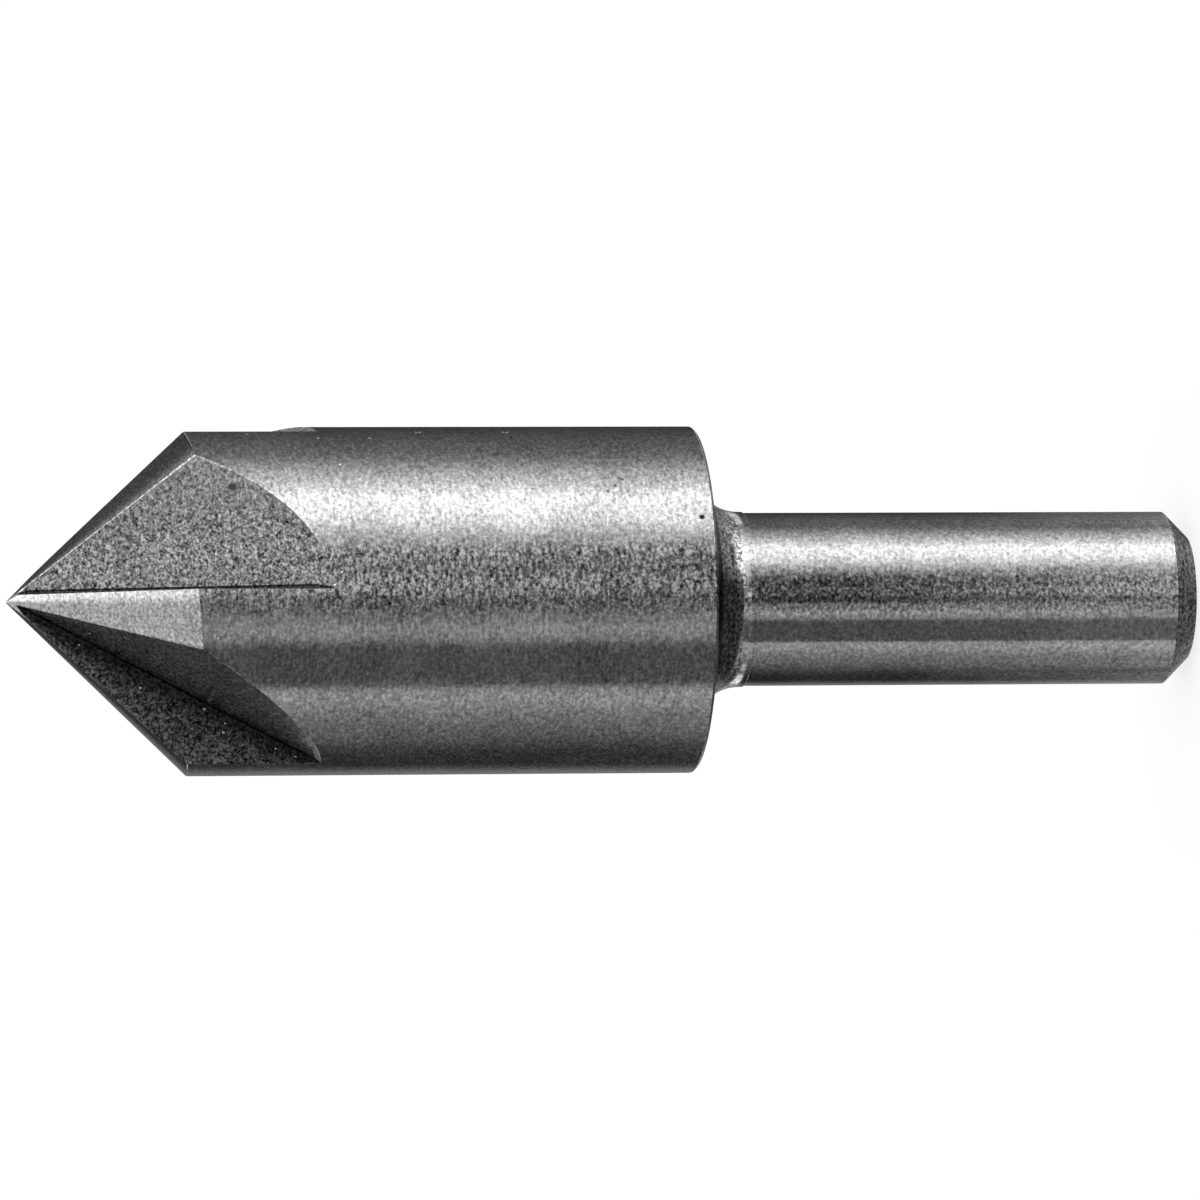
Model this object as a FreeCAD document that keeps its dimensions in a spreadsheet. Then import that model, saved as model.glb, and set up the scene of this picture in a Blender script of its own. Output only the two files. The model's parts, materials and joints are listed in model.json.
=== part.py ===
import FreeCAD, Part

import math
import os

import Sketcher

# A five-flute countersink bit with a 90 degree point and a plain cylindrical shank, in one piece.
# Origin: the centre of the shank's end face. +Z: along the axis, towards the point.
# Lengths are millimetres and angles are degrees.

SIZES = {
    "overall_length": "55",
    "body_diameter": "16",
    "shank_diameter": "8",
    "shank_length": "23.25",
    "shank_chamfer": "1.1",
    "neck_step": "0.05",
    "neck_straight": "0.15",
    "neck_fillet_radius": "2.2",
    "rim_break": "0.12",
    "point_angle": "90",
    "grinding_allowance": "0.3",
    "flute_count": "5",
    "flute_slope": "29.5",
    "flute_offset": "0.35",
    "flute_root_radius": "0.15",
    "relief_tilt": "2.45",
}

# The neck's fillet, kept clear of the rim where the body's rear face is narrow.
NECK_FILLET = ("min(sizes.neck_fillet_radius; "
               "(sizes.body_diameter - sizes.shank_diameter) / 2 - sizes.neck_step - 2 * sizes.rim_break)")

SIDEWAYS = FreeCAD.Vector(1, 0, 0)
CENTRE = (-1, 1)
START = 1
END = 2
SAME_PLACE = 0.001


def make_sheet(doc):
    """Write every driving size into the spreadsheet, with its name beside it."""
    sheet = doc.addObject("Spreadsheet::Sheet", "sizes")
    for row, (name, value) in enumerate(SIZES.items(), start=1):
        sheet.set(f"A{row}", name)
        sheet.set(f"B{row}", value)
        sheet.setAlias(f"B{row}", name)
    doc.recompute()
    return sheet


def origin_feature(body, role):
    """Return the plane or axis of the body's own origin that has this role."""
    for feature in body.Origin.OriginFeatures:
        if feature.Role == role:
            return feature
    raise RuntimeError(f"the body has no {role}")


def sketch_on(body, role, name):
    """Start a sketch on one of the body's origin planes."""
    sketch = body.newObject("Sketcher::SketchObject", name)
    sketch.AttachmentSupport = [(origin_feature(body, role), "")]
    sketch.MapMode = "FlatFace"
    return sketch


def draw_line(sketch, first, second):
    """Draw one straight line and return its number."""
    return sketch.addGeometry(Part.LineSegment(FreeCAD.Vector(*first, 0), FreeCAD.Vector(*second, 0)), False)


def join(sketch, first, second):
    """Join the end of one line to the start of the next."""
    sketch.addConstraint(Sketcher.Constraint("Coincident", first, END, second, START))


def draw_outline(sketch, points):
    """Draw a closed outline of straight lines and return their numbers."""
    ends = points[1:] + points[:1]
    lines = [draw_line(sketch, first, second) for first, second in zip(points, ends)]
    for first, second in zip(lines, lines[1:] + lines[:1]):
        join(sketch, first, second)
    return lines


def level(sketch, *lines):
    for line in lines:
        sketch.addConstraint(Sketcher.Constraint("Horizontal", line))


def upright(sketch, *lines):
    for line in lines:
        sketch.addConstraint(Sketcher.Constraint("Vertical", line))


def value_of(feature, expression):
    """The plain number that an expression gives."""
    value = feature.evalExpression(expression)
    return float(getattr(value, "Value", value))


def dimension(sketch, kind, name, expression, *places):
    """Add a named dimension at its value in the sheet and bind it to the sheet."""
    value = value_of(sketch, expression)
    if kind == "Angle":
        value = FreeCAD.Units.Quantity(value, FreeCAD.Units.Angle)
    index = sketch.addConstraint(Sketcher.Constraint(kind, *places, value))
    sketch.renameConstraint(index, name)
    sketch.setExpression(f"Constraints.{name}", expression)


def turned_blank(body, sheet):
    """Turn the shank, neck, body and point cone in one revolution.

    The cone is left oversize by the grinding allowance, so it ends in a small flat at the tip's height.
    Grinding the relief takes the flat away and leaves the point.
    """
    body_radius = sheet.body_diameter / 2
    shank_radius = sheet.shank_diameter / 2
    neck_radius = shank_radius + sheet.neck_step
    neck_bottom = sheet.shank_length - value_of(sheet, NECK_FILLET) - sheet.neck_straight
    rim_radius = body_radius - sheet.rim_break
    rim_top = sheet.shank_length + sheet.rim_break
    cone_height = (body_radius - sheet.grinding_allowance) / math.tan(math.radians(sheet.point_angle / 2))

    profile = sketch_on(body, "XZ_Plane", "blank_profile")
    outline = draw_outline(profile, [
        (0, 0),
        (shank_radius - sheet.shank_chamfer, 0),
        (shank_radius, sheet.shank_chamfer),
        (shank_radius, neck_bottom),
        (neck_radius, neck_bottom),
        (neck_radius, sheet.shank_length),
        (rim_radius, sheet.shank_length),
        (body_radius, rim_top),
        (body_radius, sheet.overall_length - cone_height),
        (sheet.grinding_allowance, sheet.overall_length),
        (0, sheet.overall_length),
    ])
    end_face, end_chamfer, shank, step, neck, rear_face, rim, side, cone, flat, axis = outline
    level(profile, end_face, step, rear_face, flat)
    upright(profile, shank, neck, side, axis)
    profile.addConstraint(Sketcher.Constraint("Coincident", end_face, START, *CENTRE))

    dimension(profile, "DistanceX", "shank_radius", "sizes.shank_diameter / 2", *CENTRE, shank, START)
    dimension(profile, "DistanceX", "chamfer_width", "sizes.shank_chamfer",
              end_chamfer, START, end_chamfer, END)
    dimension(profile, "DistanceY", "chamfer_height", "sizes.shank_chamfer",
              end_chamfer, START, end_chamfer, END)
    dimension(profile, "DistanceX", "neck_step", "sizes.neck_step", step, START, step, END)
    dimension(profile, "DistanceY", "neck_length", f"{NECK_FILLET} + sizes.neck_straight",
              neck, START, neck, END)
    dimension(profile, "DistanceY", "shank_length", "sizes.shank_length", *CENTRE, rear_face, START)
    dimension(profile, "DistanceX", "rim_width", "sizes.rim_break", rim, START, rim, END)
    dimension(profile, "DistanceY", "rim_height", "sizes.rim_break", rim, START, rim, END)
    dimension(profile, "DistanceX", "body_radius", "sizes.body_diameter / 2", *CENTRE, side, START)
    dimension(profile, "DistanceY", "overall_length", "sizes.overall_length", *CENTRE, flat, START)
    dimension(profile, "DistanceX", "flat_radius", "sizes.grinding_allowance", flat, END, flat, START)
    dimension(profile, "Angle", "half_point", "sizes.point_angle / 2 * 1 deg", axis, START, cone, END)

    blank = body.newObject("PartDesign::Revolution", "turned_blank")
    blank.Profile = profile
    blank.ReferenceAxis = (profile, ["V_Axis"])
    blank.Angle = 360
    return blank


def neck_fillet(body, sheet, blank):
    """Round the inner corner between the neck and the body's rear face."""
    neck_radius = sheet.shank_diameter / 2 + sheet.neck_step
    for number, edge in enumerate(blank.Shape.Edges, start=1):
        round_edge = isinstance(edge.Curve, Part.Circle) and abs(edge.Curve.Radius - neck_radius) < SAME_PLACE
        if round_edge and abs(edge.Curve.Center.z - sheet.shank_length) < SAME_PLACE:
            fillet = body.newObject("PartDesign::Fillet", "neck_fillet")
            fillet.Base = (blank, [f"Edge{number}"])
            fillet.setExpression("Radius", NECK_FILLET)
            return fillet
    raise RuntimeError("the corner between neck and body wasn't found")


def flute(body, sheet):
    """Mill one flute: a square corner with a small root radius, run straight out of the side.

    Its corner line starts at the tip and leaves the axis by the flute's slope. The wall beside the
    axis plane is the rake face, which stands off the axis by the flute's offset.
    """
    section = sketch_on(body, "XY_Plane", "flute_section")
    section.AttachmentOffset = FreeCAD.Placement(
        FreeCAD.Vector(0, 0, sheet.overall_length), FreeCAD.Rotation(SIDEWAYS, -sheet.flute_slope))
    section.setExpression("AttachmentOffset.Base.z", "sizes.overall_length")
    section.setExpression("AttachmentOffset.Rotation.Angle", "-sizes.flute_slope * 1 deg")

    reach = sheet.body_diameter
    offset = sheet.flute_offset
    root = sheet.flute_root_radius
    rake_face = draw_line(section, (offset, -reach), (offset, -root))
    circle = Part.Circle(FreeCAD.Vector(offset + root, -root, 0), FreeCAD.Vector(0, 0, 1), root)
    root_arc = section.addGeometry(Part.ArcOfCircle(circle, math.pi / 2, math.pi), False)
    back_face = draw_line(section, (offset + root, 0), (reach, 0))
    far_side = draw_line(section, (reach, 0), (reach, -reach))
    near_side = draw_line(section, (reach, -reach), (offset, -reach))
    join(section, back_face, far_side)
    join(section, far_side, near_side)
    join(section, near_side, rake_face)
    level(section, back_face, near_side)
    upright(section, rake_face, far_side)
    section.addConstraint(Sketcher.Constraint("Tangent", rake_face, END, root_arc, END))
    section.addConstraint(Sketcher.Constraint("Tangent", root_arc, START, back_face, START))
    dimension(section, "Radius", "root_radius", "sizes.flute_root_radius", root_arc)
    dimension(section, "DistanceX", "rake_offset", "sizes.flute_offset", *CENTRE, rake_face, END)
    dimension(section, "DistanceX", "reach_across", "sizes.body_diameter", *CENTRE, back_face, END)
    dimension(section, "DistanceY", "reach_out", "sizes.body_diameter", near_side, START, *CENTRE)
    section.addConstraint(Sketcher.Constraint("PointOnObject", back_face, START, -1))

    pocket = body.newObject("PartDesign::Pocket", "flute")
    pocket.Profile = section
    pocket.Type = "ThroughAll"
    pocket.Reversed = False
    return pocket


def land_relief(body, sheet):
    """Grind one land to a cone of the point's angle, on an axis tilted about the cutting edge.

    The cone meets the full point angle at the cutting edge and falls away behind it. The cut turns
    far enough each way to overlap the next land's cut at the tip, inside the open flutes.
    """
    section = sketch_on(body, "YZ_Plane", "relief_section")
    section.AttachmentOffset = FreeCAD.Placement(
        FreeCAD.Vector(0, sheet.overall_length, 0), FreeCAD.Rotation(SIDEWAYS, -sheet.relief_tilt))
    section.setExpression("AttachmentOffset.Base.y", "sizes.overall_length")
    section.setExpression("AttachmentOffset.Rotation.Angle", "-sizes.relief_tilt * 1 deg")

    reach = sheet.body_diameter
    axis, top, outside, land = draw_outline(section, [
        (0, 0),
        (0, reach),
        (-reach, reach),
        (-reach, -reach),
    ])
    upright(section, axis, outside)
    level(section, top)
    section.addConstraint(Sketcher.Constraint("Coincident", axis, START, *CENTRE))
    dimension(section, "DistanceY", "headroom", "sizes.body_diameter", *CENTRE, axis, END)
    dimension(section, "DistanceX", "reach", "sizes.body_diameter", top, END, *CENTRE)
    dimension(section, "Angle", "half_point", "(180 - sizes.point_angle / 2) * 1 deg",
              axis, START, land, END)

    groove = body.newObject("PartDesign::Groove", "land_relief")
    groove.Profile = section
    groove.ReferenceAxis = (section, ["V_Axis"])
    groove.Midplane = True
    groove.setExpression("Angle", "450 deg / sizes.flute_count")
    return groove


def repeat_flutes(body, *cuts):
    """Repeat the flute and its land's relief evenly around the axis."""
    pattern = body.newObject("PartDesign::PolarPattern", "flutes")
    pattern.Originals = list(cuts)
    pattern.Axis = (origin_feature(body, "Z_Axis"), [""])
    pattern.Angle = 360
    pattern.setExpression("Occurrences", "sizes.flute_count")
    body.Tip = pattern
    return pattern


def countersink_bit(doc, sheet):
    """Make the whole bit as one body."""
    body = doc.addObject("PartDesign::Body", "countersink_bit")
    body.Label = "countersink_bit"
    body.Placement = FreeCAD.Placement()
    blank = turned_blank(body, sheet)
    doc.recompute()
    fillet = neck_fillet(body, sheet, blank)
    first_flute = flute(body, sheet)
    first_relief = land_relief(body, sheet)
    pattern = repeat_flutes(body, first_flute, first_relief)
    doc.recompute()
    for before, cut in ((fillet, first_flute), (first_flute, first_relief), (first_relief, pattern)):
        if cut.Shape.isNull() or cut.Shape.Volume >= before.Shape.Volume:
            raise RuntimeError(f"{cut.Name} took nothing off the bit")
    return body


def check(doc, bodies):
    """Stop if any object failed or a finished body isn't one valid solid."""
    for item in doc.Objects:
        if "Invalid" in item.State or "Error" in item.State:
            raise RuntimeError(f"{item.Name} failed: {item.State}")
    for body in bodies:
        shape = body.Shape
        if shape.isNull() or not shape.isValid() or len(shape.Solids) != 1:
            raise RuntimeError(f"{body.Label} isn't one valid solid")


def main():
    doc = FreeCAD.newDocument("countersink_bit")
    bodies = [countersink_bit(doc, make_sheet(doc))]
    check(doc, bodies)
    os.makedirs("parts", exist_ok=True)
    for body in bodies:
        body.Shape.exportStep(f"parts/{body.Label}.step")
        print(body.Label, "volume", round(body.Shape.Volume, 2), "box", body.Shape.BoundBox)


main()
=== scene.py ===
import json
import math

import bpy
from bpy.props import FloatProperty, FloatVectorProperty, IntProperty, PointerProperty
from mathutils import Matrix, Vector


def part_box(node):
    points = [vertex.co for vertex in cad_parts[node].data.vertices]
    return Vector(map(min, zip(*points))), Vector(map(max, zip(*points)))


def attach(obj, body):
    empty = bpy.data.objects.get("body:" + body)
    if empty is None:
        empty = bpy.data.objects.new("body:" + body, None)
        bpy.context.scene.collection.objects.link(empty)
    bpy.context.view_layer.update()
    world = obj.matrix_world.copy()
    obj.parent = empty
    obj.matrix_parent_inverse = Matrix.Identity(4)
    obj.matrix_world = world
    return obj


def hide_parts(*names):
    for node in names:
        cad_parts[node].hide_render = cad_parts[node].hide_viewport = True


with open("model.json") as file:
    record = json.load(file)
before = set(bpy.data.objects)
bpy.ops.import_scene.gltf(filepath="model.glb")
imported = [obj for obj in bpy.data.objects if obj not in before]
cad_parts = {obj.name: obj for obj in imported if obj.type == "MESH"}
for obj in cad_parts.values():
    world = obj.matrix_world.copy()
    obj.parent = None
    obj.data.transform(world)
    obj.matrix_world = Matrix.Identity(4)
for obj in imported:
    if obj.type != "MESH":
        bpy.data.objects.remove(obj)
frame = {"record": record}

bl_info = {
    "name": "Countersink bit",
    "version": (1, 0, 0),
    "blender": (4, 5, 0),
    "location": "3D View > Sidebar > Countersink",
    "description": "Makes a five-flute countersink bit with ground and milled finishes, and its studio",
    "category": "Object",
}

# Lengths are metres in the frame's own axes: the shank's end face at the origin, the point up.
MM = 0.001
NODE = "countersink_bit"
PIECE = "countersink_bit_finished"
LOW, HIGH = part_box(NODE)
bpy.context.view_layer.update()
SHANK = next(mount for mount in frame["record"]["mounts"] if mount["name"] == "shank")


def length(name, default, description):
    return FloatProperty(name=name, description=description, default=default, unit="LENGTH", precision=6)


def angle(name, degrees, description):
    return FloatProperty(name=name, description=description, default=math.radians(degrees), subtype="ANGLE")


def factor(name, default, description):
    return FloatProperty(name=name, description=description, default=default)


def colour(name, default, description):
    return FloatVectorProperty(name=name, description=description, default=default, size=3,
                               subtype="COLOR", min=0.0, max=1.0)


class BitSizes(bpy.types.PropertyGroup):
    """Sizes of the bit, the overall ones read from the frame."""

    whole_length: length("Length", HIGH.z - LOW.z, "From the shank's end to the tip")
    body_radius: length("Body radius", (HIGH.x - LOW.x) / 2, "Radius of the ground body")
    shank_radius: length("Shank radius", SHANK["dims"]["r_mm"] * MM, "Radius of the ground shank")
    shank_length: length("Shank length", 23.25 * MM, "From the shank's end to the body's rear face")
    end_chamfer: length("End chamfer", 1.1 * MM, "Chamfer at the shank's end")
    neck_step: length("Neck step", 0.05 * MM, "How far the turned neck stands out from the ground shank")
    neck_straight: length("Neck straight", 0.15 * MM, "Plain stretch of neck behind the fillet")
    neck_fillet: length("Neck fillet", 2.2 * MM, "Radius between the neck and the body's rear face")
    rim_break: length("Rim break", 0.12 * MM, "Chamfer on the body's rear rim")
    flutes: IntProperty(name="Flutes", description="Number of flutes", default=5, min=2)
    half_point: angle("Half point angle", 45, "Half of the cutting point's angle")
    flute_slope: angle("Flute slope", 29.5, "Angle between the flute's corner line and the axis")
    flute_offset: length("Flute offset", 0.35 * MM, "How far the rake face stands off the axis")
    root_radius: length("Root radius", 0.15 * MM, "Radius in the flute's corner")
    relief_tilt: angle("Relief tilt", 2.45, "Tilt of the relieved cone's axis about the cutting edge")
    edge_round: length("Edge rounding", 0.03 * MM, "Width of the honed rounding on the sharp edges")
    heel_round: length("Heel rounding", 0.11 * MM, "Width of the rounding behind the lands")
    # The strip beside the root carries the root's painted shadow.
    root_shadow_strip: length("Root shadow strip", 0.05 * MM, "Width of the dark strip beside the flute's root")
    neck_bevel: angle("Neck bevel", 79, "How far round the neck's fillet the shank's grinding begins")
    tip_wear: length("Tip wear", 0.02 * MM, "How much of the very tip is worn away")


class BitFinish(bpy.types.PropertyGroup):
    """Colours and roughness of the bit's finishes."""

    ground_steel: colour("Ground steel", (0.45, 0.45, 0.45), "Colour of the ground body, lands and shank")
    milled_steel: colour("Milled steel", (0.27, 0.27, 0.27), "Colour of the milled flutes")
    # The rake faces' darker colour is painted shade in the flutes' valleys.
    rake_shade_steel: colour("Rake shade steel", (0.097, 0.097, 0.097), "Colour of the rake faces")
    # The roots' near-black colour is a painted shadow in the flutes' corners.
    root_shadow_steel: colour("Root shadow steel", (0.022, 0.022, 0.022), "Colour of the flute roots")
    turned_steel: colour("Turned steel", (0.41, 0.41, 0.41), "Colour of the turned neck")
    bevel_steel: colour("Bevel steel", (0.42, 0.42, 0.42), "Colour of the turned end and its chamfer")
    honed_steel: colour("Honed steel", (0.29, 0.29, 0.29), "Colour of the rounding behind the lands")
    body_roughness: factor("Body roughness", 0.15, "Roughness of the ground body")
    shank_roughness: factor("Shank roughness", 0.10, "Roughness of the ground shank")
    land_roughness: factor("Land roughness", 0.16, "Roughness of the relieved lands")
    flute_roughness: factor("Flute roughness", 0.30, "Roughness of the milled flutes")
    turned_roughness: factor("Turned roughness", 0.17, "Roughness of the turned neck and end")


class StudioLook(bpy.types.PropertyGroup):
    """Camera and light of the studio."""

    camera_distance: length("Camera distance", 0.450, "From the middle of the bit to the camera")
    camera_height: angle("Camera height", 8.846, "Angle of the camera above the floor, seen from the bit")
    camera_turn: angle("Camera turn", -1.77, "Angle of the camera around the bit")
    camera_roll: angle("Camera roll", 0.243, "How far the bit's axis rises across the picture")
    focal_length: factor("Focal length", 292.7, "Focal length in millimetres")
    floor_size: length("Floor size", 6.0, "Side of the pale floor")
    floor_colour: colour("Floor", (0.34, 0.34, 0.34), "Colour of the pale floor")
    floor_glow: factor("Floor glow", 0.75, "Light that the floor gives by itself, as a lit sheet does")
    backdrop_level: factor("Backdrop level", 1.02, "Brightness of what lights the floor")
    steel_level: factor("Steel level", 1.333, "Brightness of what the steel mirrors")


# How many grains of the finishes lie in a millimetre.
GRAIN = 6.5

# Where the colour of ground and turned steel, and of milled steel, lies between black and its
# lightest grain.
GROUND_LEVEL = 0.67
MILLED_LEVEL = 0.6

# The mesh attribute with each point's distance from its flute's root in millimetres.
FROM_ROOT = "from_root"

# A length in millimetres beyond any on the bit. It stands for no flute's root, or no painted shade, nearby.
FAR = 100.0


class Wire:
    """A shader socket that plain arithmetic works on. Each operation adds its Math node."""

    def __init__(self, tree, socket):
        self.tree = tree
        self.socket = socket

    def math(self, operation, *values, clamp=False):
        node = self.tree.nodes.new("ShaderNodeMath")
        node.operation = operation
        node.use_clamp = clamp
        for socket, value in zip(node.inputs, values):
            plug(self.tree, socket, value)
        return Wire(self.tree, node.outputs[0])

    def __add__(self, other):
        return self.math("ADD", self, other)

    def __radd__(self, other):
        return self.math("ADD", other, self)

    def __sub__(self, other):
        return self.math("SUBTRACT", self, other)

    def __rsub__(self, other):
        return self.math("SUBTRACT", other, self)

    def __mul__(self, other):
        return self.math("MULTIPLY", self, other)

    def clamped(self):
        return self.math("ADD", self, 0.0, clamp=True)


def plug(tree, socket, value):
    """Link a wire to a socket, or set the socket's own value."""
    if isinstance(value, Wire):
        tree.links.new(value.socket, socket)
    else:
        socket.default_value = value


class Shader:
    """One node tree, with one method for every node that isn't plain arithmetic."""

    def __init__(self, tree):
        self.tree = tree
        tree.nodes.clear()

    def node(self, kind, settings, inputs, output=0):
        """Add a node, set it up, fill its sockets by name or number and return one output, if any."""
        node = self.tree.nodes.new(kind)
        for name, value in settings.items():
            setattr(node, name, value)
        for name, value in inputs.items():
            plug(self.tree, node.inputs[name], value)
        return None if output is None else Wire(self.tree, node.outputs[output])

    def place(self):
        """The surface's own place, in millimetres."""
        own = self.node("ShaderNodeTexCoord", {}, {}, output="Object")
        return self.stretched(own, (1 / MM, 1 / MM, 1 / MM))

    def stretched(self, vector, by):
        return self.node("ShaderNodeVectorMath", {"operation": "MULTIPLY"}, {0: vector, 1: by})

    def axes(self, vector):
        return [self.node("ShaderNodeSeparateXYZ", {}, {0: vector}, output=axis) for axis in "XYZ"]

    def noise(self, vector, scale, detail, roughness):
        return self.node("ShaderNodeTexNoise", {"noise_dimensions": "3D"},
                         {"Vector": vector, "Scale": scale, "Detail": detail, "Roughness": roughness},
                         output="Fac")

    def rise(self, value, start, end):
        """0 below start and 1 above end, with a smooth rise between. It falls if end is below start."""
        falling = end < start
        return self.node("ShaderNodeMapRange", {"interpolation_type": "SMOOTHSTEP"}, {
            "Value": value,
            "From Min": min(start, end),
            "From Max": max(start, end),
            "To Min": float(falling),
            "To Max": float(not falling),
        })

    def window(self, value, start, end, start_fade, end_fade):
        """1 between start and end and 0 outside, with each end faded over its own width."""
        return (self.rise(value, start - start_fade / 2, start + start_fade / 2)
                * self.rise(value, end + end_fade / 2, end - end_fade / 2))

    def near(self, place, centre, reach):
        """1 at a centre and 0 beyond its reach."""
        distance = self.node("ShaderNodeVectorMath", {"operation": "DISTANCE"}, {0: place, 1: centre},
                             output="Value")
        return self.rise(distance, reach, reach * 0.4)

    def tint(self, grain, tone, middle):
        """A colour made lighter and darker by a grain around 0, evenly to the eye.

        The middle says where the colour lies between black and the lightest grain.
        """
        level = (grain + middle).clamped()
        light = shade(tone, 1 / middle ** 2)
        return self.node("ShaderNodeMix", {"data_type": "RGBA"}, {
            0: level * level,
            6: (0.0, 0.0, 0.0, 1.0),
            7: (*light, 1.0),
        }, output=2)

    def tint_more(self, surface, mask, other):
        """Mix a further colour over a surface by a mask."""
        return self.node("ShaderNodeMix", {"data_type": "RGBA"}, {0: mask, 6: surface, 7: (*other, 1.0)},
                         output=2)

    def bump(self, height, depth):
        """A bump whose height of 1 stands depth metres high."""
        return self.node("ShaderNodeBump", {}, {"Height": height, "Strength": 1.0, "Distance": depth},
                         output="Normal")


def shade(tone, by):
    """A colour made lighter or darker."""
    return tuple(min(1.0, part * by) for part in tone)


def metal(name, make):
    """A new metal material. The function make returns what varies: colour, roughness and normal."""
    material = bpy.data.materials.new(name)
    material.use_nodes = True
    shader = Shader(material.node_tree)
    surface, rough, normal = make(shader)
    steel = shader.node("ShaderNodeBsdfPrincipled", {}, {
        "Base Color": surface,
        "Metallic": 1.0,
        "Roughness": rough,
        "Normal": normal,
    })
    shader.node("ShaderNodeOutputMaterial", {}, {"Surface": steel}, output=None)
    return material


# Pits, a scratch and chips in the ground body: place in millimetres, reach, lightness and height. The
# lightness paints shade into the dark pits and glints onto the light scratch and chips.
BODY_MARKS = [
    ((3.53, -7.18, 23.89), 0.17, 0.02, -6.0),
    ((3.36, -7.26, 24.06), 0.10, 2.20, 6.0),
    ((4.76, -6.43, 28.09), 0.13, 0.30, -5.0),
    ((5.04, -6.21, 27.73), 0.13, 0.30, -5.0),
    ((5.32, -5.97, 27.37), 0.13, 0.30, -5.0),
    ((7.66, -2.31, 36.22), 0.16, 2.20, 14.0),
    ((7.65, -2.34, 32.20), 0.16, 2.20, 14.0),
    ((7.56, -2.60, 44.13), 0.08, 2.20, 20.0),
    ((7.35, -3.16, 40.94), 0.08, 2.20, 20.0),
    ((7.35, -3.17, 38.55), 0.08, 2.20, 20.0),
    ((6.07, -5.21, 40.20), 0.08, 2.20, 20.0),
    ((-1.90, -7.77, 46.11), 0.08, 2.20, 20.0),
    ((-1.90, -7.77, 45.62), 0.08, 2.20, 20.0),
    ((0.32, -7.99, 41.10), 0.09, 2.20, 20.0),
    ((0.45, -7.98, 40.85), 0.09, 2.20, 20.0),
    ((1.05, -7.93, 40.50), 0.08, 2.20, 20.0),
]

# Pits and chips in the milled flutes, given in the same way, with shade painted into the pits and glints
# painted onto the chips.
FLUTE_MARKS = [
    ((5.02, -5.58, 45.14), 0.26, 0.25, -3.0),
    ((2.77, -3.04, 49.62), 0.20, 0.45, -3.0),
    ((-1.51, -2.05, 51.33), 0.08, 6.00, 16.0),
    ((-1.97, -1.01, 51.71), 0.08, 6.00, 16.0),
    ((-1.72, -3.94, 49.95), 0.08, 6.00, 16.0),
    ((-3.97, -1.66, 48.98), 0.10, 6.00, 16.0),
    ((-4.95, -1.98, 46.09), 0.10, 6.00, 16.0),
    ((-5.62, -2.19, 45.17), 0.08, 6.00, 16.0),
    ((-6.03, -2.33, 45.26), 0.10, 6.00, 16.0),
    ((-6.79, -2.57, 42.91), 0.08, 6.00, 16.0),
    ((-7.16, -2.70, 42.01), 0.08, 6.00, 16.0),
]


def add_marks(shader, place, marks, tone, surface, height):
    """Lay small marks over a colour and a bump height. Returns both. Dark marks paint shade into pits and
    light ones paint glints.
    """
    for centre, reach, lightness, rise in marks:
        spot = shader.near(place, centre, reach)
        surface = shader.tint_more(surface, spot, shade(tone, lightness))
        height = height + spot * rise
    return surface, height


def ground_metal(name, tone, roughness, along, contrast, depth, painted_glint=0.0, painted_glint_to=0.0, marks=()):
    """Ground steel: strokes around the axis, speckle and a soft mottle.

    The strokes are the longer the smaller the stretch along them is. Painted glint says how much stronger
    they are in a band along the front of the bit, up to a place across it in millimetres: glints of the
    light, painted as stronger grain.
    """

    def make(shader):
        place = shader.place()
        strokes = shader.noise(shader.stretched(place, (along, along, 1.0)), GRAIN, 2.0, 0.6)
        speckle = shader.noise(place, GRAIN, 2.0, 0.7)
        mottle = shader.noise(place, 0.35, 3.0, 0.55)
        across, front, _ = shader.axes(place)
        # A band along the front where the grain is stronger, as painted glints of the light.
        glint_band = shader.window(across, -0.6, painted_glint_to, 1.2, 1.0) * shader.rise(front, 0.0, -2.0)
        grain = ((strokes - 0.5) * 1.9 + (speckle - 0.5) * 2.1) * (glint_band * painted_glint + contrast)
        surface = shader.tint(grain + (mottle - 0.5) * 0.2, tone, GROUND_LEVEL)
        rough = (speckle - 0.5) * 0.10 + (mottle - 0.5) * 0.06 + roughness
        surface, height = add_marks(shader, place, marks, tone, surface, strokes * 0.6 + speckle * 0.4)
        return surface, rough, shader.bump(height, depth)

    return metal(name, make)


def milled_metal(name, tone, roughness, contrast, depth, painted_root_shade=0.0, marks=()):
    """Milled steel: a coarse grain with small chips, whose brightness is a painted glint.

    The grain is stronger near the flute's root. Painted root shade says how much darker the root itself is,
    as painted shade in the flute's valley.
    """

    def make(shader):
        place = shader.place()
        from_root = shader.node("ShaderNodeAttribute", {"attribute_name": FROM_ROOT}, {}, output="Fac")
        coarse = shader.noise(place, 0.75 * GRAIN, 2.0, 0.7)
        fine = shader.noise(place, 1.3 * GRAIN, 2.0, 0.6)
        mottle = shader.noise(place, 0.4, 2.0, 0.5)
        strength = shader.rise(from_root, 5.0, 1.5) * (0.4 * contrast) + contrast
        grain = ((coarse - 0.5) * 2.2 + (fine - 0.5) * 2.4) * strength
        surface = shader.tint(grain + (mottle - 0.5) * 0.15, tone, MILLED_LEVEL)
        # Painted shade near the flute's root, where the valley lies in shade.
        root_shade_mask = shader.rise(from_root, 1.1, 0.0) * painted_root_shade
        surface = shader.tint_more(surface, root_shade_mask, shade(tone, 0.05))
        rough = (coarse - 0.5) * 0.2 + roughness
        surface, height = add_marks(shader, place, marks, tone, surface, coarse * 0.7 + fine * 0.3)
        return surface, rough, shader.bump(height, depth)

    return metal(name, make)


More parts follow.
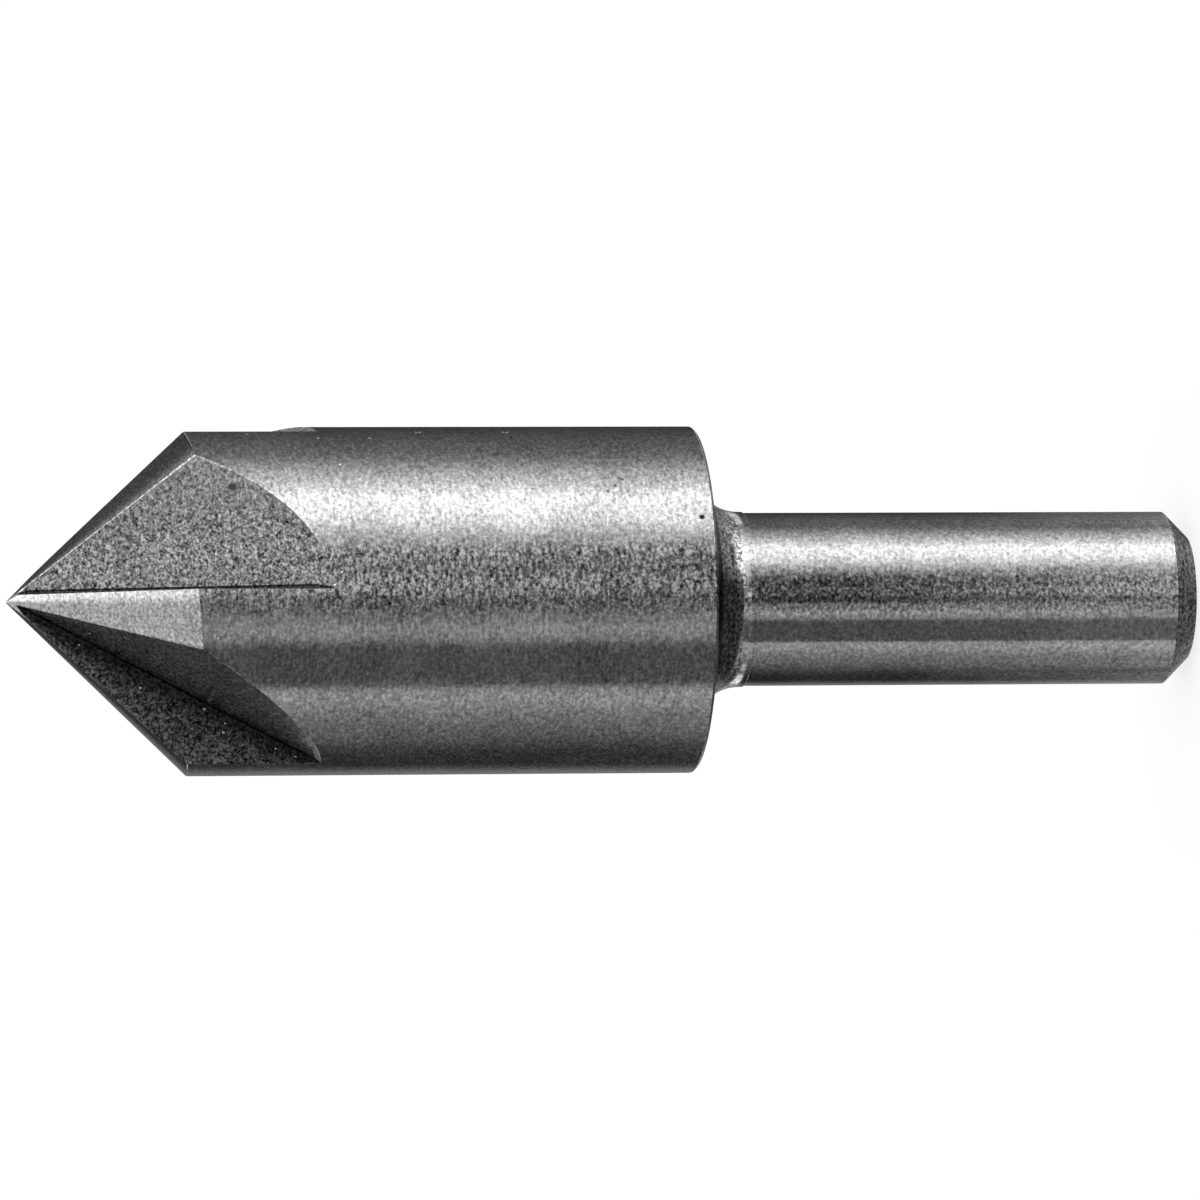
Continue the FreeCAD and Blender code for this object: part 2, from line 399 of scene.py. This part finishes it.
def turned_metal(name, tone, roughness, contrast, depth, rim_shade_height=FAR):
    """Turned steel: rings around the axis, and speckle. Above the rim shade's height it is darker, as
    painted shade in the corner by the body's rim.
    """

    def make(shader):
        place = shader.place()
        rings = shader.noise(shader.stretched(place, (0.12, 0.12, 1.0)), GRAIN, 2.0, 0.6)
        speckle = shader.noise(place, GRAIN, 2.0, 0.7)
        surface = shader.tint(((rings - 0.5) * 0.8 + (speckle - 0.5) * 2.6) * contrast, tone, GROUND_LEVEL)
        # Painted shade on the neck in the corner beside the body's rim.
        rim_shade = shader.rise(shader.axes(place)[2], rim_shade_height, rim_shade_height + 0.12)
        surface = shader.tint_more(surface, rim_shade * 0.85, shade(tone, 0.1))
        rough = (speckle - 0.5) * 0.15 + roughness
        return surface, rough, shader.bump(rings * 0.6 + speckle * 0.4, depth)

    return metal(name, make)


# The finishes by their place in the bit's material slots.
BODY, LAND, FLUTE, RAKE, ROOT, HEEL, NECK, SHANK_SIDE, END = range(9)


def bit_materials(finish):
    """Every finish of the bit, in the order of the slots."""
    ground = finish.ground_steel
    land = finish.land_roughness
    flute = finish.flute_roughness
    turned = finish.turned_roughness
    return [
        ground_metal("ground_body", ground, finish.body_roughness, along=0.45, contrast=0.33,
                     depth=0.0010 * MM, painted_glint=0.55, painted_glint_to=2.2, marks=BODY_MARKS),
        ground_metal("relieved_land", ground, land, along=1.0, contrast=0.25, depth=0.0008 * MM),
        milled_metal("milled_flute", finish.milled_steel, flute, contrast=0.48, depth=0.0030 * MM,
                     marks=FLUTE_MARKS),
        # The rake faces, darker as painted shade in the flute's valley, and darker still near the root.
        milled_metal("shaded_rake", finish.rake_shade_steel, flute, contrast=0.62, depth=0.0030 * MM,
                     painted_root_shade=0.82, marks=FLUTE_MARKS),
        # The flute's root, darkened as a painted shadow in its corner.
        milled_metal("painted_root_shadow", finish.root_shadow_steel, flute, contrast=0.45, depth=0.0030 * MM),
        ground_metal("honed_heel", finish.honed_steel, land, along=1.0, contrast=0.35,
                     depth=0.0006 * MM),
        # The neck is painted darker by the rim, as shade.
        turned_metal("turned_neck", finish.turned_steel, turned, contrast=0.9, depth=0.0016 * MM,
                     rim_shade_height=22.42),
        ground_metal("ground_shank", ground, finish.shank_roughness, along=0.7, contrast=0.28,
                     depth=0.0006 * MM, painted_glint=0.5, painted_glint_to=1.0),
        turned_metal("turned_end", finish.bevel_steel, turned, contrast=0.9, depth=0.0016 * MM),
    ]


# How finely the outline of one flute and its land is divided.
LAND_STEPS = 34
EDGE_STEPS = 3
RAKE_STEPS = 8
ROOT_STEPS = 4
FLOOR_STEPS = 16

# How finely the bit is divided along its axis: beside the flutes, where the points become evenly
# spaced, on the plain body below and in the neck's fillet.
SIDE_STEPS = 34
EVEN_STEPS = 40
BODY_STEPS = 4
FILLET_STEPS = 18

# The most of a flute's wall that a rounding, the root's arc and the painted shadow strip beside it take.
ROUND_SHARE = 0.3
ROOT_SHARE = 0.4
SHADOW_STRIP_SHARE = 0.2

# The most of a turned side that the rounding of a corner takes, and where the end face has one more
# ring, as a share of the shank's radius.
TURNED_SHARE = 0.4
END_RING = 0.3

# Ahead of a cutting edge the cone turns into the next land's from this share of the way on.
CONE_BLEND = 0.25

# How near to the shoulder the levels follow it fully, and how far from it they begin to bend.
SHOULDER_NEAR = 0.1 * MM
SHOULDER_REACH = 1.2 * MM

# The rounding behind a land is widest at the shoulder. Beyond this reach it has its least share.
HEEL_REACH = 3 * MM
HEEL_LEAST = 0.4

# How much deeper each level on the point lies than the one before, and how near to each other the two
# levels lie between which a flute starts or ends.
LEVEL_GROWTH = 1.12
LEVEL_PAIR = 0.002 * MM

# The stretch of body below the flutes on which the mesh's points become evenly spaced.
EVEN_STRETCH = 7 * MM

# Points of the mesh that lie nearer than this are one.
SAME_PLACE = 0.00002 * MM


def spread(start, end, steps):
    """Evenly spaced values from start to end, both included."""
    return [start + (end - start) * index / steps for index in range(steps + 1)]


def smooth(share):
    """A share from 0 to 1, eased at both ends."""
    share = max(0.0, min(1.0, share))
    return share * share * (3 - 2 * share)


def find_zero(function, low, high):
    """Where a function that changes sign between low and high is nought."""
    rising = function(high) > 0
    for _ in range(60):
        middle = (low + high) / 2
        if (function(middle) > 0) == rising:
            high = middle
        else:
            low = middle
    return (low + high) / 2


class Corner:
    """A point of the mesh with its normal, the finish of the face that follows it and its distance
    from the flute's root."""

    def __init__(self, place, normal, finish, from_root=FAR):
        self.place = place
        self.normal = normal
        self.finish = finish
        self.from_root = from_root


def between(before, corner, after, finish):
    """The inner points of a small rounding at a corner, which leaves one side and joins the next."""
    points = []
    for share in spread(0.0, 1.0, EDGE_STEPS)[1:-1]:
        start, middle, end = (1 - share) ** 2, 2 * share * (1 - share), share ** 2
        place = before.place * start + corner * middle + after.place * end
        points.append(Corner(place, before.normal.lerp(after.normal, share).normalized(), finish))
    return points


class FlutedPoint:
    """The fluted end of the bit, worked out level by level below the tip.

    Each flute has its own axes: across is the way its rake face looks, out is the way from the axis
    to its cutting edge, and down is the depth below the tip. A turn is the angle from out to across.
    """

    def __init__(self, sizes):
        self.sizes = sizes
        self.pitch = 2 * math.pi / sizes.flutes
        self.slope = math.tan(sizes.flute_slope)
        self.side_turn = math.asin(sizes.flute_offset / sizes.body_radius)
        self.cone_heel = find_zero(
            lambda turn: self.plain_cone(turn) * math.cos(turn + self.pitch) - self.slope, -self.pitch, 0.0)
        self.flute_start = sizes.flute_offset / (self.cone(self.cone_heel + self.pitch)
                                                 * math.sin(self.cone_heel + self.pitch))
        self.flute_end = sizes.body_radius * math.cos(self.side_turn) / self.slope

    def plain_cone(self, turn):
        """Radius of one land's relieved cone for each unit of depth."""
        flat = math.cos(self.sizes.half_point) ** 2
        upright = math.cos(self.sizes.relief_tilt)
        lean = math.sin(turn) * math.sin(self.sizes.relief_tilt)
        root = math.sqrt(upright ** 2 * lean ** 2 + (flat - lean ** 2) * (upright ** 2 - flat))
        return (upright * lean + root) / (flat - lean ** 2)

    def cone(self, turn):
        """The same, run smoothly into the next land's cone at the very tip, ahead of the cutting edge."""
        share = smooth((turn / (self.cone_heel + self.pitch) - CONE_BLEND) / (1 - CONE_BLEND))
        return self.plain_cone(turn) * (1 - share) + self.plain_cone(turn - self.pitch) * share

    def shoulder(self, turn):
        """Depth at which the relieved cone meets the cylinder."""
        return self.sizes.body_radius / self.cone(turn)

    def depth(self, turn, level):
        """Depth of a level, which bends to follow the shoulder where it passes it."""
        body = self.sizes.body_radius
        away = (abs(level - body) - SHOULDER_NEAR) / (SHOULDER_REACH - SHOULDER_NEAR)
        return level + (1 - min(1.0, max(0.0, away))) * (self.shoulder(turn) - body)

    def heel(self, level):
        """Turn of a land's back edge."""
        down = self.depth(self.cone_heel, level)
        if down < self.shoulder(self.cone_heel):
            return self.cone_heel
        return math.acos(min(1.0, down * self.slope / self.sizes.body_radius)) - self.pitch

    def edge(self, level):
        """Turn of a land's cutting edge."""
        down = self.depth(self.side_turn, level)
        if down > self.shoulder(self.side_turn):
            return self.side_turn
        offset = self.sizes.flute_offset
        return find_zero(lambda turn: down * self.cone(turn) * math.sin(turn) - offset,
                         0.0, self.cone_heel + self.pitch)

    def on_land(self, turn, level):
        """A point of a land, with the shoulder between cone and cylinder rounded."""
        body = self.sizes.body_radius
        soft = self.sizes.edge_round
        down = self.depth(turn, level)
        cone = down * self.cone(turn)
        share = max(0.0, min(1.0, 0.5 + (body - cone) / (2 * soft)))
        radius = body * (1 - share) + cone * share - soft * share * (1 - share)
        place = Vector((math.sin(turn) * radius, math.cos(turn) * radius, down))
        side = Vector((math.sin(turn), math.cos(turn), 0.0))
        axis = Vector((math.sin(self.sizes.relief_tilt), 0.0, math.cos(self.sizes.relief_tilt)))
        ray = Vector((math.sin(turn) * self.cone(turn), math.cos(turn) * self.cone(turn), 1.0))
        slant = (ray - axis * ray.dot(axis)).normalized()
        ground = slant * math.cos(self.sizes.half_point) - axis * math.sin(self.sizes.half_point)
        return Corner(place, side.lerp(ground, share).normalized(), LAND if share > 0.5 else BODY)

    def in_flute(self, across, height, down, normal, finish):
        """A point in the flute, by its distance across and its height above the flute's floor."""
        out = down * self.slope + height / math.cos(self.sizes.flute_slope)
        from_root = max(across - self.sizes.flute_offset, height) / MM
        return Corner(Vector((across, out, down)), normal, finish, from_root)

    def to_next(self, corner):
        """The same point seen one flute further on."""
        turn = Matrix.Rotation(-self.pitch, 3, "Z")
        return Corner(turn @ corner.place, turn @ corner.normal, corner.finish, corner.from_root)

    def outline(self, level):
        """One land and the flute after it, at a level."""
        sizes = self.sizes
        heel = self.heel(level)
        is_open = self.flute_start < level < self.flute_end
        edge = self.edge(level) if is_open else heel + self.pitch
        edge_corner = self.on_land(edge, level)
        heel_corner = self.to_next(self.on_land(heel, level))
        if not is_open:
            land = [self.on_land(turn, level) for turn in spread(heel, edge, LAND_STEPS)]
            closed = 2 * (EDGE_STEPS - 1) + RAKE_STEPS + ROOT_STEPS + FLOOR_STEPS + 1
            return land + [land[-1]] * closed

        wall = (edge_corner.place.y - edge_corner.place.z * self.slope) * math.cos(sizes.flute_slope)
        floor = heel_corner.place.x - sizes.flute_offset
        most = ROUND_SHARE * min(wall, floor)
        soft = min(sizes.edge_round, most)
        worn = HEEL_LEAST + (1 - HEEL_LEAST) * smooth(1 - abs(level - sizes.body_radius) / HEEL_REACH)
        heel_soft = min(sizes.heel_round * worn, most)
        root = min(sizes.root_radius, ROOT_SHARE * min(wall, floor))
        reach = math.hypot(edge_corner.place.x, edge_corner.place.y)
        land = [self.on_land(turn, level)
                for turn in spread(heel + heel_soft / reach, edge - soft / reach, LAND_STEPS)]

        rake_normal = Vector((1.0, 0.0, 0.0))
        floor_normal = Vector((0.0, math.cos(sizes.flute_slope), -math.sin(sizes.flute_slope)))
        heights = spread(wall - soft, root, RAKE_STEPS)
        # The painted shadow strip runs from the root's arc to here.
        shadow_strip_end = root + min(sizes.root_shadow_strip, SHADOW_STRIP_SHARE * floor)
        acrosses = [root] + spread(shadow_strip_end, floor - heel_soft, FLOOR_STEPS - 1)
        downs = spread(edge_corner.place.z, heel_corner.place.z, RAKE_STEPS + ROOT_STEPS + FLOOR_STEPS)
        rake = [self.in_flute(sizes.flute_offset, height, down, rake_normal, RAKE)
                for height, down in zip(heights, downs)]
        arc = []
        for step in range(1, ROOT_STEPS):
            bend = math.pi / 2 * step / ROOT_STEPS
            normal = rake_normal * math.cos(bend) + floor_normal * math.sin(bend)
            arc.append(self.in_flute(sizes.flute_offset + root * (1 - math.cos(bend)),
                                     root * (1 - math.sin(bend)), downs[RAKE_STEPS + step], normal, ROOT))
        back = [self.in_flute(sizes.flute_offset + across, 0.0, down, floor_normal, FLUTE)
                for across, down in zip(acrosses, downs[RAKE_STEPS + ROOT_STEPS:])]
        next_land = self.to_next(land[0])
        honed_edge = between(land[-1], edge_corner.place, rake[0], RAKE)
        honed_heel = between(back[-1], heel_corner.place, next_land, HEEL)
        land[-1].finish = RAKE
        # The root's arc and the strip beside it take the root's painted shadow.
        rake[-1].finish = ROOT
        back[0].finish = ROOT
        back[-1].finish = HEEL
        return land + honed_edge + rake + arc + back + honed_heel

    def levels(self):
        """The levels from the tip to where the flutes end."""
        body = self.sizes.body_radius
        soft = self.sizes.edge_round
        point = []
        level = 2 * self.sizes.tip_wear
        while level < body - SHOULDER_REACH:
            point.append(level)
            level = level * LEVEL_GROWTH
        shoulder = [body + soft * share for share in (-2.0, -1.0, -0.5, 0.0, 0.5, 1.0, 2.0)]
        near = [body + gap * MM for gap in (-1.2, -0.7, -0.3, 0.3, 0.7, 1.2)]
        start_turn = math.acos((body + SHOULDER_REACH) * self.slope / body)
        side = [body * math.cos(turn) / self.slope
                for turn in spread(start_turn, self.side_turn, SIDE_STEPS)[1:-1]]
        ends = [self.flute_start, self.flute_start + LEVEL_PAIR, self.flute_end - LEVEL_PAIR, self.flute_end]
        return sorted(point + shoulder + near + side + ends)

    def body_outline(self, down):
        """The plain body below the flutes, whose points move from the last flute's places to even ones."""
        last = self.outline(self.flute_end)
        turns = [math.atan2(corner.place.x, corner.place.y) for corner in last]
        even = spread(self.side_turn - self.pitch, self.side_turn, len(last))
        share = smooth((down - self.flute_end) / EVEN_STRETCH)
        outline = []
        for turn, even_turn in zip(turns, even):
            mixed = turn * (1 - share) + even_turn * share
            side = Vector((math.sin(mixed), math.cos(mixed), 0.0))
            place = side * self.sizes.body_radius
            place.z = down
            outline.append(Corner(place, side, BODY))
        return outline


class Ring:
    """A circle around the axis: its radius and height, its normal and the finish of what follows it."""

    def __init__(self, radius, height, normal, finish):
        self.radius = radius
        self.height = height
        self.normal = normal
        self.finish = finish


def turned_rings(points, finishes, soft):
    """Rings along straight sides through the points, with every inner corner rounded a little."""
    sides = []
    for (radius, height), (next_radius, next_height) in zip(points, points[1:]):
        way = Vector((next_radius - radius, next_height - height))
        sides.append((way.normalized(), way.length, Vector((-way.y, way.x)).normalized()))
    rings = [Ring(*points[0], sides[0][2], finishes[0])]
    for index in range(1, len(sides)):
        way, reach, normal = sides[index - 1]
        next_way, next_reach, next_normal = sides[index]
        corner = Vector(points[index])
        cut = min(soft, TURNED_SHARE * reach, TURNED_SHARE * next_reach)
        for share in spread(0.0, 1.0, EDGE_STEPS):
            place = (corner - way * cut) * (1 - share) ** 2 + corner * 2 * share * (1 - share)
            place = place + (corner + next_way * cut) * share ** 2
            bent = normal.lerp(next_normal, share).normalized()
            rings.append(Ring(place.x, place.y, bent, finishes[index]))
    rings.append(Ring(*points[-1], sides[-1][2], finishes[-1]))
    return rings


def rear_rings(sizes):
    """Rings of the rim, rear face, neck, shank and end."""
    rear = sizes.shank_length
    neck = sizes.shank_radius + sizes.neck_step
    fillet = sizes.neck_fillet
    neck_end = rear - fillet - sizes.neck_straight
    rim = turned_rings([
        (sizes.body_radius, rear + 3 * sizes.rim_break),
        (sizes.body_radius, rear + sizes.rim_break),
        (sizes.body_radius - sizes.rim_break, rear),
        (neck + fillet, rear),
    ], [BODY, BODY, NECK], sizes.edge_round)
    hollow = []
    for bend in spread(0.0, math.pi / 2, FILLET_STEPS)[1:-1]:
        radius = neck + fillet * (1 - math.sin(bend))
        height = rear - fillet * (1 - math.cos(bend))
        finish = NECK if bend < sizes.neck_bevel else SHANK_SIDE
        hollow.append(Ring(radius, height, Vector((math.sin(bend), -math.cos(bend))), finish))
    shank = turned_rings([
        (neck, rear - fillet),
        (neck, neck_end),
        (sizes.shank_radius, neck_end),
        (sizes.shank_radius, sizes.end_chamfer),
        (sizes.shank_radius - sizes.end_chamfer, 0.0),
        (END_RING * sizes.shank_radius, 0.0),
    ], [SHANK_SIDE, SHANK_SIDE, SHANK_SIDE, END, END], sizes.edge_round)
    return rim + hollow + shank


class MeshMaker:
    """Collects rows of corners around the axis and sews them into one closed mesh."""

    def __init__(self, sizes):
        self.sizes = sizes
        self.places = []
        self.from_root = []
        self.numbers = {}
        self.faces = []
        self.normals = []
        self.finishes = []

    def number(self, place, from_root=FAR):
        """The number of the point at a place, so that points that fall together are one."""
        key = tuple(round(part / SAME_PLACE) for part in place)
        if key not in self.numbers:
            self.numbers[key] = len(self.places)
            self.places.append(place)
            self.from_root.append(from_root)
        return self.numbers[key]

    def all_round(self, outline):
        """Turn one flute's outline into the whole row, in the frame's axes."""
        row = []
        for flute in range(self.sizes.flutes):
            turn = Matrix.Rotation(2 * math.pi * flute / self.sizes.flutes, 3, "Z")
            for corner in outline:
                across, out, down = corner.place
                normal = Vector((corner.normal.x, -corner.normal.y, -corner.normal.z))
                place = turn @ Vector((across, -out, self.sizes.whole_length - down))
                row.append((self.number(place, corner.from_root), turn @ normal, corner.finish))
        return row

    def add_face(self, corners, finish):
        """Add one face, without the corners that fall together."""
        kept = [corner for index, corner in enumerate(corners) if corner[0] != corners[index - 1][0]]
        if len({corner[0] for corner in kept}) < 3:
            return
        self.faces.append([corner[0] for corner in kept])
        self.normals.extend(corner[1] for corner in kept)
        self.finishes.append(finish)

    def sew(self, upper, lower, finish_from):
        """Join two rows, each face taking the finish of the corner that it follows."""
        for index in range(len(upper)):
            following = (index + 1) % len(upper)
            finish = finish_from[index][2]
            self.add_face([upper[index], lower[index], lower[following], upper[following]], finish)

    def close(self, row, place, normal, finish, upward):
        """Close an end of the bit with a fan to one point."""
        middle = (self.number(place), normal, finish)
        for index in range(len(row)):
            following = (index + 1) % len(row)
            pair = [row[index], row[following]] if upward else [row[following], row[index]]
            self.add_face([middle] + pair, finish)

    def object(self, name, materials):
        """The finished mesh as an object with its finishes and its exact normals."""
        mesh = bpy.data.meshes.new(name)
        mesh.from_pydata(self.places, [], self.faces)
        for material in materials:
            mesh.materials.append(material)
        mesh.polygons.foreach_set("material_index", self.finishes)
        mesh.polygons.foreach_set("use_smooth", [True] * len(self.faces))
        mesh.normals_split_custom_set(self.normals)
        mesh.attributes.new(FROM_ROOT, "FLOAT", "POINT").data.foreach_set("value", self.from_root)
        mesh.update()
        piece = bpy.data.objects.new(name, mesh)
        bpy.context.scene.collection.objects.link(piece)
        return piece


def make_bit(sizes, finish):
    """Build the whole bit as one piece."""
    maker = MeshMaker(sizes)
    point = FlutedPoint(sizes)
    rows = [maker.all_round(point.outline(level)) for level in point.levels()]

    rear = rear_rings(sizes)
    body_end = sizes.whole_length - rear[0].height
    even_from = point.flute_end + EVEN_STRETCH
    downs = spread(point.flute_end, even_from, EVEN_STEPS)[1:] + spread(even_from, body_end, BODY_STEPS)[1:]
    rows += [maker.all_round(point.body_outline(down)) for down in downs]

    even = point.body_outline(body_end)
    for ring in rear[1:]:
        outline = []
        for corner in even:
            side = corner.normal
            place = side * ring.radius
            place.z = sizes.whole_length - ring.height
            normal = Vector((side.x * ring.normal.x, side.y * ring.normal.x, -ring.normal.y))
            outline.append(Corner(place, normal, ring.finish))
        rows.append(maker.all_round(outline))

    tip = Vector((0.0, 0.0, sizes.whole_length - sizes.tip_wear))
    maker.close(rows[0], tip, Vector((0.0, 0.0, 1.0)), LAND, upward=True)
    for upper, lower in zip(rows, rows[1:]):
        maker.sew(upper, lower, upper)
    maker.close(rows[-1], Vector((0.0, 0.0, 0.0)), Vector((0.0, 0.0, -1.0)), END, upward=False)
    return maker.object(PIECE, bit_materials(finish))


class OBJECT_OT_countersink_bit(bpy.types.Operator):
    """Make the bit's finished mesh and let it stand for its solid"""

    bl_idname = "object.countersink_bit"
    bl_label = "Make the countersink bit"

    def execute(self, context):
        scene = context.scene
        piece = make_bit(scene.bit_sizes, scene.bit_finish)
        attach(piece, "root")
        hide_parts(NODE)
        return {"FINISHED"}


def make_floor(look):
    """The pale floor that the bit stands on. The steel doesn't mirror it, and it casts no shadow."""
    half = look.floor_size / 2
    mesh = bpy.data.meshes.new("floor")
    mesh.from_pydata([(-half, -half, 0), (half, -half, 0), (half, half, 0), (-half, half, 0)], [],
                     [(0, 1, 2, 3)])
    floor = bpy.data.objects.new("floor", mesh)
    bpy.context.scene.collection.objects.link(floor)
    material = bpy.data.materials.new("pale_floor")
    material.use_nodes = True
    shader = Shader(material.node_tree)
    paint = shader.node("ShaderNodeBsdfPrincipled", {}, {
        "Base Color": (*look.floor_colour, 1.0),
        "Roughness": 1.0,
        "Specular IOR Level": 0.0,
        "Emission Color": (1.0, 1.0, 1.0, 1.0),
        "Emission Strength": look.floor_glow,
    })
    shader.node("ShaderNodeOutputMaterial", {}, {"Surface": paint}, output=None)
    mesh.materials.append(material)
    floor.visible_glossy = False
    floor.visible_shadow = False


# The soft boxes that the upright cylinders mirror: start and end around the bit in degrees, 0 at the
# camera and growing towards +X, then how wide both ends fade, and the level. The back boxes stand
# behind the bit, and the rear boxes at heights that the steel hardly mirrors to the camera.
SOFT_BOXES = [
    (53, 81, 62, 69, 1.72),
    (44, 72, 44, 22, 0.87),
    (67, 70, 1, 224, 0.85),
    (2, 36, 8, 16, 0.39),
    (-29, -7, 6, 55, 0.29),
    (-22, -18, 5, 7, 0.14),
    (-98, 15, 61, 6, 0.08),
    (-78, -61, 18, 2, 0.18),
    (-104, -61, 52, 2, 0.19),
]
BACK_BOXES = [
    (-190, -151, 1, 24, 0.17),
    (173, 190, 4, 1, 0.50),
]
REAR_BOXES = [
    (-150, -122, 5, 10, 1.05),
    (-112, -98, 4, 6, 0.40),
    (-190, -92, 1, 10, 0.12),
    (118, 156, 12, 8, 0.55),
    (94, 190, 14, 1, 0.12),
]


def make_light(look):
    """Soft boxes all round the bit, as a surround that only the steel mirrors.

    A height is in degrees above the horizon.
    """
    world = bpy.data.worlds.new("studio")
    world.use_nodes = True
    shader = Shader(world.node_tree)
    x, y, z = shader.axes(shader.node("ShaderNodeTexCoord", {}, {}, output="Generated"))
    around = x.math("ARCTAN2", x, y * -1.0) * math.degrees(1)
    height = z.math("ARCSINE", z) * math.degrees(1)

    def lit(boxes, base):
        """The level that boxes give together, over a base."""
        for start, end, start_fade, end_fade, level in boxes:
            base = base + shader.window(around, start, end, start_fade, end_fade) * level
        return base

    # The ring ends at a foot, which is higher except towards +X and has a brighter line along it.
    high_foot = shader.rise(around, 48.0, 28.0)
    above_foot = height - high_foot * 8.5 + 40.0
    ring = lit(SOFT_BOXES, 0.026) * shader.rise(above_foot, -1.5, 1.5) * shader.rise(height, 24.0, 12.0)
    foot_line = shader.window(above_foot, 0.0, 4.0, 2.0, 2.0) * high_foot * 0.07

    # A dark card stands where the shank mirrors it near the body, and a fill where its end does.
    card = shader.window(height, -11.4, -8.9, 0.4, 0.4) * (
        shader.window(around, -7, 33, 6, 26) + shader.window(around, 48, 120, 10, 20) * 0.15)
    not_side = shader.rise(around, 40.0, 20.0) + shader.rise(around, 105.0, 120.0)
    end_fill = shader.window(height, -15.0, -11.4, 1.0, 0.8) * not_side * 0.11

    # Behind the bit.
    back = lit(BACK_BOXES, 0.0) * shader.window(height, -60, 1, 20, 6)
    rear = lit(REAR_BOXES, 0.0) * (
        shader.window(height, -19.5, -12.8, 2.0, 1.0) + shader.window(height, -3.0, 11.0, 1.0, 5.0))

    # Above the horizon: a box for the flute's valley, one high towards +X, a dome, a box overhead
    # and a faint fill.
    valley_box = shader.window(around, -12, 20, 8, 8) * shader.window(height, 11, 26, 4, 6) * 0.80
    side_box = shader.window(around, 45, 112, 20, 14) * shader.window(height, 20, 75, 10, 10) * 1.7
    dome = shader.rise(height, 30.0, 46.0) * 0.72 - shader.rise(height, 60.0, 74.0) * 0.13
    overhead = shader.rise(height, 70.0, 78.0) * shader.rise(x, -0.085, -0.045)
    upper = shader.rise(height, 12.0, 24.0) * 0.08

    # Below it: fills towards +X and behind, and a faint one all round.
    low_side = shader.rise(height, -14.0, -26.0) * shader.rise(x, 0.15, 0.55) * 0.20
    behind = shader.rise(y, 0.1, 0.25) * shader.rise(x, -0.5, -0.1)
    low_back = shader.rise(height, -38.0, -44.0) * behind * 0.12
    lower = shader.rise(height, -12.0, -18.0) * 0.035

    level = (ring * (1.0 - card) + foot_line + end_fill + back + rear + valley_box + side_box + dome
             + overhead + upper + low_side + low_back + lower)

    steel_light = shader.node("ShaderNodeBackground", {}, {"Strength": level * look.steel_level})
    floor_light = shader.node("ShaderNodeBackground", {}, {"Strength": look.backdrop_level})
    plain = shader.node("ShaderNodeLightPath", {}, {}, output="Is Glossy Ray")
    both = shader.node("ShaderNodeMixShader", {}, {0: plain, 1: floor_light, 2: steel_light})
    shader.node("ShaderNodeOutputWorld", {}, {"Surface": both}, output=None)
    bpy.context.scene.world = world


def make_camera(look, sizes):
    """A camera on its side, so that the bit lies across the picture with its point to the left."""
    data = bpy.data.cameras.new("camera")
    data.lens = look.focal_length
    data.sensor_width = 36.0
    data.clip_start = 0.01
    camera = bpy.data.objects.new("camera", data)
    bpy.context.scene.collection.objects.link(camera)
    turn, rise = look.camera_turn, look.camera_height
    back = Vector((math.sin(turn) * math.cos(rise), -math.cos(turn) * math.cos(rise), math.sin(rise)))
    upward = Vector((math.cos(turn), math.sin(turn), 0.0))
    right = upward.cross(back)
    roll = look.camera_roll
    level_right = right * math.cos(roll) - upward * math.sin(roll)
    level_up = upward * math.cos(roll) + right * math.sin(roll)
    frame_axes = Matrix((level_right, level_up, back)).transposed().to_4x4()
    middle = Vector((0.0, 0.0, sizes.whole_length / 2))
    camera.matrix_world = Matrix.Translation(middle + back * look.camera_distance) @ frame_axes
    bpy.context.scene.camera = camera


class SCENE_OT_countersink_studio(bpy.types.Operator):
    """Make the floor, the light and the camera"""

    bl_idname = "scene.countersink_studio"
    bl_label = "Make the studio"

    def execute(self, context):
        scene = context.scene
        make_floor(scene.studio_look)
        make_light(scene.studio_look)
        make_camera(scene.studio_look, scene.bit_sizes)
        scene.view_settings.view_transform = "Standard"
        return {"FINISHED"}


class VIEW3D_PT_countersink(bpy.types.Panel):
    """Lists the makers of the bit and its studio"""

    bl_label = "Countersink bit"
    bl_idname = "VIEW3D_PT_countersink"
    bl_space_type = "VIEW_3D"
    bl_region_type = "UI"
    bl_category = "Countersink"

    def draw(self, context):
        self.layout.operator(OBJECT_OT_countersink_bit.bl_idname)
        self.layout.operator(SCENE_OT_countersink_studio.bl_idname)


CLASSES = (
    BitSizes,
    BitFinish,
    StudioLook,
    OBJECT_OT_countersink_bit,
    SCENE_OT_countersink_studio,
    VIEW3D_PT_countersink,
)


def register():
    for kind in CLASSES:
        bpy.utils.register_class(kind)
    bpy.types.Scene.bit_sizes = PointerProperty(type=BitSizes)
    bpy.types.Scene.bit_finish = PointerProperty(type=BitFinish)
    bpy.types.Scene.studio_look = PointerProperty(type=StudioLook)


def unregister():
    del bpy.types.Scene.studio_look
    del bpy.types.Scene.bit_finish
    del bpy.types.Scene.bit_sizes
    for kind in reversed(CLASSES):
        bpy.utils.unregister_class(kind)


def main():
    register()
    bpy.ops.object.countersink_bit()
    bpy.ops.scene.countersink_studio()


if __name__ == "__main__":
    main()
